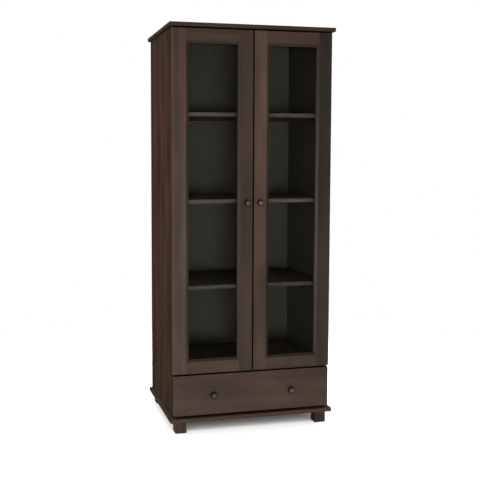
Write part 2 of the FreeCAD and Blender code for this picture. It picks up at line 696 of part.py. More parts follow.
def turned_knob(name, x, y, z):
    """A waisted neck, a short rim and a rounded head with a flat face, turned about one axis."""
    foot = FreeCAD.Vector(SIZES["knob_foot_radius"], 0, 0)
    rim_start = FreeCAD.Vector(SIZES["knob_radius"], SIZES["knob_neck_length"], 0)
    rim_end = rim_start + FreeCAD.Vector(0, SIZES["knob_rim"], 0)
    face = FreeCAD.Vector(SIZES["knob_face_radius"], SIZES["knob_length"], 0)
    tip = FreeCAD.Vector(0, SIZES["knob_length"], 0)
    body = document.addObject("PartDesign::Body", f"{name}_turning")
    sketch = flat_sketch(body, f"{name}_profile")
    profile = (
        Part.LineSegment(FreeCAD.Vector(), foot),
        bend(rim_start, foot, SIZES["knob_neck_curve"]),
        Part.LineSegment(rim_start, rim_end),
        bend(rim_end, face, SIZES["knob_head_curve"]),
        Part.LineSegment(face, tip),
        Part.LineSegment(tip, FreeCAD.Vector()),
    )
    for curve in profile:
        sketch.addGeometry(curve, False)
    meetings = (
        (0, 2, 1, 2), (1, 1, 2, 1), (2, 2, 3, 1), (3, 2, 4, 1), (4, 2, 5, 1), (5, 2, 0, 1), (0, 1, -1, 1)
    )
    for meeting in meetings:
        sketch.addConstraint(Sketcher.Constraint("Coincident", *meeting))
    for index, direction in ((0, "Horizontal"), (2, "Vertical"), (4, "Horizontal"), (5, "Vertical")):
        sketch.addConstraint(Sketcher.Constraint(direction, index))
    driven = (
        (Sketcher.Constraint("DistanceX", 0, 1, 0, 2, foot.x), "sizes.knob_foot_radius"),
        (Sketcher.Constraint("DistanceX", -1, 1, 2, 1, rim_start.x), "sizes.knob_radius"),
        (Sketcher.Constraint("DistanceY", -1, 1, 2, 1, rim_start.y), "sizes.knob_neck_length"),
        (Sketcher.Constraint("DistanceY", 2, 1, 2, 2, SIZES["knob_rim"]), "sizes.knob_rim"),
        (Sketcher.Constraint("DistanceX", -1, 1, 4, 1, face.x), "sizes.knob_face_radius"),
        (Sketcher.Constraint("DistanceY", -1, 1, 4, 1, face.y), "sizes.knob_length"),
        (Sketcher.Constraint("Radius", 1, SIZES["knob_neck_curve"]), "sizes.knob_neck_curve"),
        (Sketcher.Constraint("Radius", 3, SIZES["knob_head_curve"]), "sizes.knob_head_curve"),
    )
    drive(sketch, driven)
    turning = body.newObject("PartDesign::Revolution", f"{name}_turn")
    turning.Profile = sketch
    turning.ReferenceAxis = (sketch, ["V_Axis"])
    turning.Angle = 360
    body.Placement = FreeCAD.Placement(FreeCAD.Vector(), FreeCAD.Rotation(AXES["z"], 180))
    place(body, x, y, z)
    return body


def knob(name, x, z):
    """A knob on the front, and the screw that holds it from behind."""
    fixing = screw(
        f"{name}_screw", "sizes.knob_screw_radius", "sizes.door_thickness + sizes.knob_screw_grip",
        "sizes.screw_head_radius", "sizes.screw_head", x, DOOR_BACK, z, "-y",
    )
    return carve(name, turned_knob(name, x, DOOR_FRONT, z), [fixing]), fixing


def mitred_rail(name, length, x, z, upright, eased):
    """A door rail whose two corners at the glass are cut at 45 degrees to meet the stiles' sloped edges."""
    body = document.addObject("PartDesign::Body", name)
    sketch = flat_sketch(body, f"{name}_outline", "XZ_Plane")
    mitre = SIZES["bevel_width"]
    height = SIZES["rail_width"]
    span = 5 * height
    points = (
        (0, 0), (span, 0), (span, height - mitre),
        (span - mitre, height), (mitre, height), (0, height - mitre),
    )
    closed_outline(sketch, points)
    for index, direction in ((0, "Horizontal"), (1, "Vertical"), (3, "Horizontal"), (5, "Vertical")):
        sketch.addConstraint(Sketcher.Constraint(direction, index))
    sketch.addConstraint(Sketcher.Constraint("Equal", 1, 5))
    driven = (
        (Sketcher.Constraint("DistanceX", 0, 1, 0, 2, span), length),
        (Sketcher.Constraint("DistanceY", 1, 1, 1, 2, height), "sizes.rail_width - sizes.bevel_width"),
        (Sketcher.Constraint("DistanceY", 0, 1, 4, 1, height), "sizes.rail_width"),
        (Sketcher.Constraint("DistanceX", 0, 1, 4, 1, mitre), "sizes.bevel_width"),
        (Sketcher.Constraint("DistanceX", 3, 1, 0, 2, mitre), "sizes.bevel_width"),
    )
    drive(sketch, driven)
    pad = body.newObject("PartDesign::Pad", f"{name}_pad")
    pad.Profile = sketch
    pad.setExpression("Length", "sizes.door_thickness")
    if eased:
        ease_edges(body, pad, "chamfer")
    if upright:
        place(body, x, DOOR_BACK, z)
    else:
        body.Placement = FreeCAD.Placement(FreeCAD.Vector(), FreeCAD.Rotation(AXES["y"], 180))
        place(body, f"({x} + {length})", DOOR_BACK, f"({z} + sizes.rail_width)")
    return body


def door(side, sign):
    """A tenoned frame with a sloped inner edge, and glass held from behind by beads."""
    width = f"({DOOR_WIDTH} - sizes.outer_stile_width - sizes.meeting_stile_width)"
    height = f"({DOOR_TOP} - {DOOR_BOTTOM} - 2 * sizes.rail_width)"
    left = strip_start(sign, "sizes.outer_stile_width", width)
    low = f"({DOOR_BOTTOM} + sizes.rail_width)"
    name = f"door_{side}"

    # The sloped edge is one funnel, taken out of all four members so that its corners are mitred
    slope = "(sizes.bevel_width / sizes.bevel_depth)"
    grow = f"(sizes.bevel_width + {slope})"
    funnel = document.addObject("Part::Wedge", f"{name}_funnel")
    limits = {
        "Xmin": f"-{grow}", "Xmax": f"{width} + {grow}", "Zmin": f"-{grow}", "Zmax": f"{height} + {grow}",
        "X2min": slope, "X2max": f"{width} - {slope}", "Z2min": slope, "Z2max": f"{height} - {slope}",
        "Ymin": "-1", "Ymax": "sizes.bevel_depth + 1",
    }
    for limit, expression in limits.items():
        funnel.setExpression(limit, expression)
    place(funnel, left, DOOR_FRONT, low)
    rabbet = box(
        f"{name}_rabbet", f"{width} + 2 * sizes.rabbet_width", "sizes.rabbet_depth + 1",
        f"{height} + 2 * sizes.rabbet_width", f"{left} - sizes.rabbet_width",
        f"{DOOR_BACK} - sizes.rabbet_depth", f"{low} - sizes.rabbet_width",
    )

    # Rails with a tenon at each end, and the plain outline of each that is taken out of the stiles
    tenon_y = f"{DOOR_FRONT} + (sizes.door_thickness - sizes.tenon_thickness) / 2"
    tenon_height = "(sizes.rail_width - 2 * sizes.tenon_shoulder)"
    rail_length = f"({width} + 2 * sizes.bevel_width)"
    rail_x = f"({left} - sizes.bevel_width)"
    rail_seats = []
    for level, rail_z in (("bottom", DOOR_BOTTOM), ("top", f"({DOOR_TOP} - sizes.rail_width)")):
        upright = level == "bottom"
        rail = mitred_rail(f"{name}_{level}_blank", rail_length, rail_x, rail_z, upright, True)
        seat = mitred_rail(f"{name}_{level}_seat", rail_length, rail_x, rail_z, upright, False)
        tenon = box(
            f"{name}_{level}_tenon", f"{rail_length} + 2 * sizes.tenon_length", "sizes.tenon_thickness",
            tenon_height, f"{rail_x} - sizes.tenon_length", tenon_y, f"{rail_z} + sizes.tenon_shoulder",
        )
        rail_seats.extend([seat, tenon])
        whole = fuse(f"{name}_{level}_whole", [rail, tenon])
        keep(f"{name}_{level}_rail", carve(f"{name}_{level}_rail", whole, [funnel, rabbet]))

    # Stiles: the outer one carries the hinge cups, the meeting one the knob
    knob_x = from_outside(sign, f"({DOOR_WIDTH} - sizes.knob_inset)")
    handle, fixing = knob(f"{name}_knob", knob_x, DOOR_MIDDLE)
    keep(f"{name}_knob", handle)
    keep(f"{name}_knob_screw", fixing)
    stiles = {
        "outer": ("0", "sizes.outer_stile_width", cup_seats[side]),
        "meeting": (f"({DOOR_WIDTH} - sizes.meeting_stile_width)", "sizes.meeting_stile_width", [fixing]),
    }
    for stile, (distance, stile_width, seats) in stiles.items():
        blank = board(
            f"{name}_{stile}_blank", stile_width, "sizes.door_thickness", f"{DOOR_TOP} - {DOOR_BOTTOM}",
            strip_start(sign, distance, stile_width), DOOR_FRONT, DOOR_BOTTOM,
        )
        tools = [funnel, rabbet] + rail_seats + seats
        keep(f"{name}_{stile}_stile", carve(f"{name}_{stile}_stile", blank, tools))

    # Glass against the front of the rabbet, and four beads behind it
    margin = "(sizes.rabbet_width - sizes.glass_clearance)"
    glass = box(
        f"{name}_glass", f"{width} + 2 * {margin}", "sizes.glass_thickness", f"{height} + 2 * {margin}",
        f"{left} - {margin}", f"{DOOR_BACK} - sizes.rabbet_depth", f"{low} - {margin}",
    )
    keep(f"{name}_glass", glass)
    bead_width = "(sizes.rabbet_width - sizes.bead_clearance)"
    bead_depth = "(sizes.rabbet_depth - sizes.glass_thickness)"
    bead_y = f"{DOOR_BACK} - {bead_depth}"
    uprights = (f"{left} - {bead_width}", f"{left} + {width}")
    crossbars = (f"{low} - {bead_width}", f"{low} + {height}")
    beads = []
    for number, x in enumerate(uprights):
        bead = box(
            f"{name}_upright_bead_{number}", bead_width, bead_depth, f"{height} + 2 * {bead_width}",
            x, bead_y, f"{low} - {bead_width}",
        )
        beads.append(bead)
    for number, z in enumerate(crossbars):
        beads.append(box(f"{name}_cross_bead_{number}", width, bead_depth, bead_width, left, bead_y, z))
    keep(f"{name}_glazing_beads", group(f"{name}_glazing_beads", beads))


for side, sign in SIDES.items():
    door(side, sign)

# Drawer: a wide front on a box whose grooved sides ride on the runners
front_half = f"({CASE_HALF} - sizes.drawer_front_inset)"
front_blank = board(
    "drawer_front_blank", f"2 * {front_half}", "sizes.door_thickness", "sizes.drawer_front_height",
    f"-{front_half}", DOOR_FRONT, DRAWER_BOTTOM, "round",
)
box_inner_half = f"({BOX_HALF} - sizes.drawer_side)"
panel_z = f"({BOX_BOTTOM} + sizes.drawer_bottom_rise)"
bottom_panel = box(
    "drawer_bottom", f"2 * ({box_inner_half} + sizes.drawer_groove)",
    f"{BOX_LENGTH} + sizes.drawer_groove", "sizes.drawer_bottom",
    f"-({box_inner_half} + sizes.drawer_groove)", f"{DOOR_BACK} - sizes.drawer_groove", panel_z,
)
keep("drawer_bottom", bottom_panel)
back_z = f"({panel_z} + sizes.drawer_bottom)"
back_height = f"({BOX_BOTTOM} + sizes.drawer_height - {back_z})"
box_back = f"({DOOR_BACK} + {BOX_LENGTH})"
rear_blank = board(
    "drawer_back_blank", f"2 * {box_inner_half}", "sizes.drawer_side", back_height,
    f"-{box_inner_half}", f"{box_back} - sizes.drawer_side", back_z,
)
drawer_dowels = []
front_tools = [bottom_panel]
rear_tools = []
runner_middle = f"({RUNNER_BOTTOM} + sizes.runner_height / 2)"
dowel_levels = {
    "low": f"({runner_middle} - sizes.drawer_dowel_spread)",
    "high": f"({runner_middle} + sizes.drawer_dowel_spread)",
}
for side, sign in SIDES.items():
    tools = [bottom_panel]
    side_middle = f"({sign} * ({BOX_HALF} - sizes.drawer_side / 2))"
    for level, z in dowel_levels.items():
        front_dowel = cylinder(
            f"drawer_front_dowel_{side}_{level}", "sizes.drawer_dowel_radius", dowel_length, side_middle,
            f"{DOOR_BACK} - sizes.dowel_shallow", z, "y",
        )
        rear_dowel = cylinder(
            f"drawer_rear_dowel_{side}_{level}", "sizes.drawer_dowel_radius",
            "sizes.dowel_deep + sizes.drawer_side / 2", f"({sign} * ({box_inner_half} - sizes.dowel_deep))",
            f"{box_back} - sizes.drawer_side / 2", z, outwards(sign),
        )
        tools.extend([front_dowel, rear_dowel])
        front_tools.append(front_dowel)
        rear_tools.append(rear_dowel)
        drawer_dowels.extend([front_dowel, rear_dowel])
    groove_depth = "(sizes.runner_depth - sizes.drawer_side_gap + 2 * sizes.runner_clearance)"
    groove_start = f"({RUNNER_FRONT} - sizes.runner_clearance)"
    groove = box(
        f"drawer_groove_{side}", groove_depth, BOX_LENGTH,
        "sizes.runner_height + 2 * sizes.runner_clearance",
        strip_start(sign, "(sizes.board_thickness + sizes.drawer_side_gap)", groove_depth), groove_start,
        f"{RUNNER_BOTTOM} - sizes.runner_clearance",
    )
    blank = board(
        f"drawer_side_blank_{side}", "sizes.drawer_side", BOX_LENGTH, "sizes.drawer_height",
        strip_start(sign, "(sizes.board_thickness + sizes.drawer_side_gap)", "sizes.drawer_side"), DOOR_BACK,
        BOX_BOTTOM,
    )
    keep(f"drawer_side_{side}", carve(f"drawer_side_{side}", blank, tools + [groove]))
    knob_z = f"({DRAWER_BOTTOM} + sizes.drawer_knob_rise)"
    handle, fixing = knob(f"drawer_knob_{side}", f"({sign} * {front_half} / 2)", knob_z)
    keep(f"drawer_knob_{side}", handle)
    front_tools.append(fixing)
keep("drawer_back", carve("drawer_back", rear_blank, rear_tools))
keep("drawer_front", carve("drawer_front", front_blank, front_tools))
keep("drawer_dowels", group("drawer_dowels", drawer_dowels))
knob_screws = [document.getObject(f"drawer_knob_{side}_screw") for side in SIDES]
keep("drawer_knob_screws", group("drawer_knob_screws", knob_screws))

document.recompute()
for thing in document.Objects:
    if "Invalid" in thing.State or "Error" in thing.State:
        raise RuntimeError(f"{thing.Name} failed: {thing.State}")
for label, thing in sub_parts.items():
    if thing.Shape.isNull() or not thing.Shape.isValid():
        raise RuntimeError(f"{label} has no valid shape")

os.makedirs("parts", exist_ok=True)
for label, thing in sub_parts.items():
    thing.Shape.exportStep(f"parts/{label}.step")
print(len(sub_parts), "sub-parts written")
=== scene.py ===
"""Bookcase with two framed glass doors above one drawer, in a plain pale studio."""

import json
import math

import bpy
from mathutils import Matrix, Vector


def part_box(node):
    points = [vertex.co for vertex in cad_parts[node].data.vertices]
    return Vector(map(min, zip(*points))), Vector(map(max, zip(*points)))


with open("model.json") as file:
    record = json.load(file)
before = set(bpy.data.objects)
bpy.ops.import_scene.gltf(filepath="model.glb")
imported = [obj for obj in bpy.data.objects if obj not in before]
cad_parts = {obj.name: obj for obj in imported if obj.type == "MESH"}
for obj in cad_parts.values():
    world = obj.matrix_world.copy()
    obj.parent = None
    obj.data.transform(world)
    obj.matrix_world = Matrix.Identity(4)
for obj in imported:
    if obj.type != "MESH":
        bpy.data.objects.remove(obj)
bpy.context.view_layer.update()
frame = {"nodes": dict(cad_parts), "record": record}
nodes = frame["nodes"]
scene = bpy.context.scene

AXES = "xyz"
WHITE = (1, 1, 1)

# The photograph's camera, fitted to the cabinet's straight edges, in pixels, metres and degrees
IMAGE_SIZE = 480
FOCAL_PIXELS = 803.9
PRINCIPAL_POINT = (199.9, 218.6)
CAMERA_PLACE = (-1.1346, -3.8543, 1.3003)
CAMERA_TURN = 13.721
CAMERA_TILT = -4.483
SENSOR_WIDTH = 36

# Each lamp's name, place, target, width and height, watts and colour
KEY_COLOUR = (1.0, 0.95, 0.88)
CABINET_LAMPS = (
    ("key", (-1.25, -8.0, 0.5), (0, -0.26, 0.85), (1.8, 0.9), 165, KEY_COLOUR),
    ("side", (-2.6, 0.5, 2.0), (-0.38, 0.1, 1.3), (1.6, 1.6), 35, WHITE),
    ("far_side", (2.6, 0.5, 2.0), (0.38, 0.1, 1.3), (1.6, 1.6), 35, WHITE),
    ("fill", (1.8, 3.2, 2.2), (0, 0.2, 0.9), (2.0, 2.0), 30, WHITE),
)
FLOOR_LAMPS = (
    ("front_wash", (-1.0, -3.2, 2.3), (-1.0, -0.3, 0), (7.0, 2.8), 280, WHITE),
    ("rear_wash", (-1.0, 3.2, 2.3), (-1.0, 0.3, 0), (7.0, 2.8), 280, WHITE),
)

# The floor: paper that takes the shadow near the cabinet, and plain white further out
FLOOR_REACH = 14
FLOOR_FADE = {"From Min": 0.9, "From Max": 2.4}
FLOOR_GLOW = (0.03, 1.0)
FLOOR_SEEN = 0.9
FLOOR_BOUNCED = 0.45
FLOOR_MIRRORED = 0.15

# The world: an even light, and the room that gloss mirrors, dim in front and lighter behind
AMBIENT_COLOUR = (1, 0.98, 0.95)
AMBIENT_STRENGTH = 0.36
ROOM_DEPTH = (-0.3, 0.4)
ROOM_STRENGTH = (0.06, 0.4)

# Colours in linear light: stained wood as the side panels show it, and as the doors and the drawer do. The
# fronts' colour is greyer and lighter than the sides', which paints in part of the sheen that the key lamp
# lays on them
STAIN = (0.0540, 0.0322, 0.0238)
FRONT_STAIN_AND_SHEEN = (0.0632, 0.0397, 0.0296)
BARE_WOOD = (0.46, 0.31, 0.17)
DARK_BOARD = (0.0555, 0.0506, 0.0432)
RAW_BOARD = (0.155, 0.094, 0.054)
PLATING = (0.57, 0.56, 0.54)
COOL_CAST = (0.94, 1.01, 0.99)
WARM_CAST = (1.09, 0.97, 0.94)
GLASS_TINT = (0.93, 0.96, 0.94)
GLASS_SHADE = (0.93, 0.95, 0.94)

# The panes bend light less than real glass does, so that they mirror as faintly as the photograph's
GLASS_IOR = 1.1

# How much lighter or darker, and how much greyer, each stained piece is than its stain
TONES = {
    "top_board": (1.2, 0.15),
    "bottom_board": (1.75, 0.1),
    "side_panel_left": (0.9, 0.05),
    "side_panel_right": (0.9, 0.05),
    "shelf_middle": (1.9, 0.5),
    "door_left_outer_stile": (1.56, 0.0),
    "door_left_meeting_stile": (0.98, 0.1),
    "door_left_top_rail": (1.05, 0.05),
    "door_left_bottom_rail": (1.32, 0.0),
    "door_right_outer_stile": (0.82, 0.1),
    "door_right_meeting_stile": (1.6, 0.05),
    "door_right_top_rail": (1.12, 0.0),
    "door_right_bottom_rail": (1.0, 0.0),
    "drawer_front": (1.22, 0.0),
    "foot_front_left": (1.5, 0.15),
    "foot_front_right": (0.95, 0.1),
}
# The knobs are lighter than any other piece, which paints a highlight on their faces
KNOB_TONE = (2.5, 0.25)
SHELF_TONE = (1.2, 0.5)
OTHER_TONE = (1.0, 0.1)

# Each wood's roughness, sheen and strength of figure
PALE_FINISH = (0.6, 0.2, 0.5)
PANEL_FINISH = (0.8, 0.0, 1.1)
CASE_FINISH = (0.45, 0.2, 1.1)
FRONT_FINISH = (0.41, 0.3, 1.35)
CALM_FRONT_FINISH = (0.41, 0.3, 0.8)
ROUGHNESS_SWING = 0.08

# Painted shade: how far slopes, and faces along an axis (or down it, with a minus), are darkened. It paints
# the shade in the bevels, in the gaps between the doors, the drawer and the rails, under the boards and
# round the knobs, and darkens the boards' ends
KNOB_PAINTED_SHADE = {"slope": 0.95, "faces": {"x": 0.95, "z": 0.95}}
MEETING_PAINTED_SHADE = {"slope": 0.55, "faces": {"x": 0.85, "z": 0.85}}
FRONT_PAINTED_SHADE = {"slope": 0.55, "faces": {"x": 0.3, "z": 0.85}}
BOARD_PAINTED_SHADE = {"slope": 0.0, "faces": {"x": 0.55, "-z": 0.85}}
# The band of a knob's radius over which its rim is painted dark as shade, and how dark
KNOB_RIM_SHADE = (0.5, 0.75, 0.0, 0.93)
# Slopes facing left, towards the key lamp, keep only this share of their painted shade, as painted light
LIT_SLOPE_SHARE = 0.3
# How dark the painted shade gets, as a share of the piece's colour
PAINTED_SHADE_LEVEL = 0.1

# The side panels' inner faces, by their direction along x, and how far their lining covers the stain
INSIDES = {"side_panel_left": 1, "side_panel_right": -1}
LINING_COVER = 0.8
LINING_LEVEL = 1.3

# Growth rings, and the squeeze of their coordinates across the grain and along it
RINGS = {"Scale": 48, "Distortion": 14.0, "Detail": 2.0, "Detail Scale": 0.25, "Detail Roughness": 0.45}
RING_STRETCH = (1, 0.05)

# Wood's other patterns: scale across the grain and along it, detail and roughness of the noise
WOOD_PATTERNS = {
    "broad": (11, 0.9, 2, 0.5),
    "streaks": (60, 0.9, 3, 0.6),
    "fibres": (520, 8, 3, 0.6),
    "pores": (900, 22, 2, 0.5),
    "patches": (9, 3, 3, 0.5),
    "flecks": (170, 9, 1, 0.5),
}
WOOD_SPOTS = {"pores": (0.62, 0.72), "flecks": (0.66, 0.74)}
HUE_PATTERN = (16, 0.7, 2)
SEED_STEPS = (3.17, 1.73, 2.41)

# How the patterns add up to the figure, the figure's range, and its darkest and lightest tone
FIGURE = {"rings": 0.06, "broad": 0.42, "streaks": 0.1, "fibres": 0.06, "patches": 0.36}
FIGURE_DARK = 0.32
FIGURE_MIDDLE = 0.5
FIGURE_LIGHT = 0.68
DARKER = 0.42
LIGHTER = 0.45
LIGHT_GREY = 0.06
SPOT_STRENGTH = 0.3
SPOT_LEVEL = 0.5
WOOD_RELIEF = {"fibres": 0.6, "pores": -1.0, "rings": 0.25}

# Edges: radius in metres on fronts and boards, on other wood and on steel, and the wear on them
FRONT_EDGE = 0.003
WOOD_EDGE = 0.001
STEEL_EDGE = 0.0004
EDGE_WEAR = (0.35, 0.7, 0.03, 0.25)
WORN_TONE = (1.9, 0.1)

# Pressed board's patterns: scale, detail and roughness of the noise
BOARD_PATTERNS = {
    "clouds": (4, 3, 0.5),
    "mottle": (70, 4, 0.6),
    "matting": (650, 4, 0.7),
    "specks": (900, 1, 0.5),
}
BOARD_SPECKS = (0.7, 0.78)
BOARD_ROUGHNESS = (0.62, 0.78)

# Bands of noise that are stretched over a whole range
WIDE_BAND = (0.3, 0.7)
MIDDLE_BAND = (0.35, 0.65)

# Level and roughness of the plated steel
NICKEL = (0.85, 0.4)
ZINC = (0.25, 0.55)
ZINC_NODES = ("cam_discs", "cam_bolts", "shelf_pins")


class Tree:
    """A material's or world's node tree, with short ways to add and join nodes."""

    def __init__(self, owner):
        owner.use_nodes = True
        self.tree = owner.node_tree
        self.tree.nodes.clear()

    def add(self, kind, inputs=None, **settings):
        node = self.tree.nodes.new(f"ShaderNode{kind}")
        for name, value in settings.items():
            setattr(node, name, value)
        for socket, value in (inputs or {}).items():
            self.feed(node.inputs[socket], value)
        return node

    def feed(self, socket, value):
        if isinstance(value, bpy.types.NodeSocket):
            self.tree.links.new(value, socket)
        else:
            socket.default_value = value

    def math(self, operation, first, second=0.0):
        node = self.add("Math", {0: first, 1: second}, operation=operation)
        return node.outputs[0]

    def blend(self, factor, first, second, kind="MIX"):
        node = self.add("Mix", data_type="RGBA", blend_type=kind)
        for name, value in (("Factor", factor), ("A", first), ("B", second)):
            socket = next(s for s in node.inputs if s.name == name and s.enabled)
            self.feed(socket, value)
        return next(s for s in node.outputs if s.enabled)

    def noise(self, vector, scale, detail, roughness=0.5):
        inputs = {"Vector": vector, "Scale": scale, "Detail": detail, "Roughness": roughness}
        return self.add("TexNoise", inputs).outputs[0]

    def spread(self, value, low, high, to_low=0.0, to_high=1.0):
        """The value's band from low to high, stretched over another band."""
        inputs = {
            "Value": value, "From Min": low, "From Max": high, "To Min": to_low, "To Max": to_high,
        }
        return self.add("MapRange", inputs).outputs[0]

    def total(self, values, shares):
        """The sum of named values, each times its share."""
        result = 0.0
        for name, share in shares.items():
            result = self.math("ADD", self.math("MULTIPLY", values[name], share), result)
        return result

    def finish(self, surface, output="OutputMaterial"):
        self.tree.links.new(surface, self.add(output).inputs["Surface"])


def rgba(colour):
    return (*colour, 1.0)


def grey(level):
    return (level, level, level, 1.0)


def shaded(colour, level, greyness=0.0):
    """A colour made lighter or darker, and part of the way to its own grey."""
    mean = sum(colour) / 3
    return tuple((value * (1 - greyness) + mean * greyness) * level for value in colour)


def stretched(tree, grain, across, along, offset):
    """Coordinates of the object's frame, squeezed across the grain and drawn out along it."""
    scale = [across] * 3
    scale[AXES.index(grain)] = along
    place = tree.add("TexCoord").outputs["Object"]
    inputs = {"Vector": place, "Location": offset, "Scale": scale}
    return tree.add("Mapping", inputs).outputs[0]


def edge_mask(tree, radius):
    """One along sharp edges and nothing on flat faces, and the normal that rounds those edges."""
    soft = tree.add("Bevel", {"Radius": radius}, samples=4).outputs[0]
    true = tree.add("NewGeometry").outputs["True Normal"]
    match = tree.add("VectorMath", {0: soft, 1: true}, operation="DOT_PRODUCT").outputs["Value"]
    return tree.spread(match, 0.99, 0.8), soft


def grain_of(node):
    """The axis along which a wooden piece is longest."""
    low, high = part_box(node)
    extent = high - low
    return AXES[max(range(3), key=lambda axis: extent[axis])]


def pith_of(node, seed):
    """The middle of the board's tree: a point on a line along the grain, beside and behind the board."""
    low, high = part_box(node)
    swing = math.sin(seed * 2.4)
    sideways = Vector((0.055 * swing, 0.05 + 0.02 * swing, 0.06 * math.cos(seed * 1.7)))
    return (low + high) / 2 + sideways


def facing(tree):
    """How far a face points along each of the object's axes."""
    return tree.add("SeparateXYZ", {0: tree.add("TexCoord").outputs["Normal"]}).outputs


def from_axis(tree, node):
    """The distance from a knob's axis, as a share of the knob's radius."""
    low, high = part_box(node)
    place = tree.add("TexCoord").outputs["Object"]
    middle = (low + high) / 2
    place = tree.add("VectorMath", {0: place, 1: middle}, operation="SUBTRACT").outputs[0]
    scale = 2 / (high.x - low.x)
    place = tree.add("VectorMath", {0: place, 1: (scale, 0, scale)}, operation="MULTIPLY").outputs[0]
    return tree.add("VectorMath", {0: place}, operation="LENGTH").outputs["Value"]


def patterns_of(tree, node, grain, seed, offset):
    """Growth rings about a pith, and streaks, fibres, pores and patches along the grain."""
    place = stretched(tree, grain, *RING_STRETCH, -pith_of(node, seed))
    rings = tree.add(
        "TexWave", {"Vector": place, **RINGS},
        wave_type="RINGS", rings_direction=grain.upper(), wave_profile="SAW",
    )
    patterns = {"rings": rings.outputs["Fac"]}
    for name, (across, along, detail, roughness) in WOOD_PATTERNS.items():
        place = stretched(tree, grain, across, along, offset)
        patterns[name] = tree.noise(place, 1.0, detail, roughness)
    for name, band in WOOD_SPOTS.items():
        patterns[name] = tree.spread(patterns[name], *band)
    return patterns


def stained(tree, patterns, colour, contrast, grain, offset):
    """The figure in tones of one colour, with a slow change of hue."""
    ramp = tree.add("ValToRGB", {"Fac": tree.total(patterns, FIGURE)})
    stops = ramp.color_ramp.elements
    stops[0].position = FIGURE_DARK
    stops[0].color = rgba(shaded(colour, 1 - DARKER * contrast))
    stops[1].position = FIGURE_LIGHT
    stops[1].color = rgba(shaded(colour, 1 + LIGHTER * contrast, LIGHT_GREY))
    middle = stops.new(FIGURE_MIDDLE)
    middle.color = rgba(colour)
    across, along, detail = HUE_PATTERN
    hue = tree.noise(stretched(tree, grain, across, along, offset[::-1]), 1.0, detail)
    cast = tree.blend(tree.spread(hue, *MIDDLE_BAND), rgba(COOL_CAST), rgba(WARM_CAST))
    return tree.blend(1.0, ramp.outputs[0], cast, "MULTIPLY")


def painted_shade_and_facing(tree, node, shade_shares):
    """Painted shade on slopes, on faces along an axis and round a knob's rim, and how far a face points to
    the front or the back.

    Slopes that face left, towards the key lamp, get less of the painted shade than the others, as painted
    light.
    """
    sides = facing(tree)
    front = tree.math("ABSOLUTE", sides["Y"])
    slope = shade_shares["slope"]
    slope_shade = tree.spread(sides["X"], -0.3, -0.1, LIT_SLOPE_SHARE * slope, slope)
    painted_shade = tree.math("MULTIPLY", tree.spread(front, 0.985, 0.945), slope_shade)
    for way, depth in shade_shares["faces"].items():
        part = sides[way[-1].upper()]
        part = tree.math("MULTIPLY", part, -1) if "-" in way else tree.math("ABSOLUTE", part)
        painted_shade = tree.math("MAXIMUM", painted_shade, tree.spread(part, 0.6, 0.85, 0.0, depth))
    # A knob's rim is painted dark, as the shade at its sides and round its neck
    if "knob" in node:
        rim_shade = tree.spread(from_axis(tree, node), *KNOB_RIM_SHADE)
        painted_shade = tree.math("MAXIMUM", painted_shade, rim_shade)
    return painted_shade, front


def wood(name, node, colour, seed, finish, shade_shares=None, inside=0):
    """Sawn softwood under a stain that took unevenly, with worn edges.

    Shade shares say where painted shade darkens the piece's slopes and faces, and a knob's rim. A panel
    whose inside is given as a direction along x is lined in the dark board's colour on that face.
    """
    gloss, sheen, contrast = finish
    material = bpy.data.materials.new(name)
    tree = Tree(material)
    grain = grain_of(node)
    offset = tuple(seed * step for step in SEED_STEPS)
    patterns = patterns_of(tree, node, grain, seed, offset)
    tint = stained(tree, patterns, colour, contrast, grain, offset)
    edges, soft = edge_mask(tree, FRONT_EDGE if shade_shares else WOOD_EDGE)
    worn = tree.math("MULTIPLY", edges, tree.spread(patterns["patches"], *EDGE_WEAR))
    spots = tree.math("MAXIMUM", patterns["pores"], patterns["flecks"])
    spots = tree.math("MULTIPLY", spots, SPOT_STRENGTH * contrast)
    tint = tree.blend(spots, tint, rgba(shaded(colour, SPOT_LEVEL)))
    tint = tree.blend(worn, tint, rgba(shaded(colour, *WORN_TONE)))
    rubbed = tree.total(patterns, {"fibres": 0.5, "streaks": 0.5})
    roughness = tree.spread(rubbed, *WIDE_BAND, gloss - ROUGHNESS_SWING, gloss + ROUGHNESS_SWING)
    # Painted shade: slopes, faces in the gaps and under the boards, and knob rims are darkened in the
    # colour
    if shade_shares:
        painted_shade, front = painted_shade_and_facing(tree, node, shade_shares)
        tint = tree.blend(painted_shade, tint, rgba(shaded(colour, PAINTED_SHADE_LEVEL)))
        roughness = tree.math("MAXIMUM", roughness, tree.spread(front, 0.8, 0.5))
    if inside:
        inward = tree.math("MULTIPLY", facing(tree)["X"], inside)
        lining = tree.spread(inward, 0.5, 0.9, 0.0, LINING_COVER)
        tint = tree.blend(lining, tint, rgba(shaded(DARK_BOARD, LINING_LEVEL)))
    relief = tree.total(patterns, WOOD_RELIEF)
    bump = tree.add("Bump", {"Strength": 0.2, "Distance": 0.0003, "Height": relief, "Normal": soft})
    shader = tree.add("BsdfPrincipled", {
        "Base Color": tint, "Roughness": roughness, "Normal": bump.outputs[0],
        "Specular IOR Level": sheen,
    })
    tree.finish(shader.outputs[0])
    return material


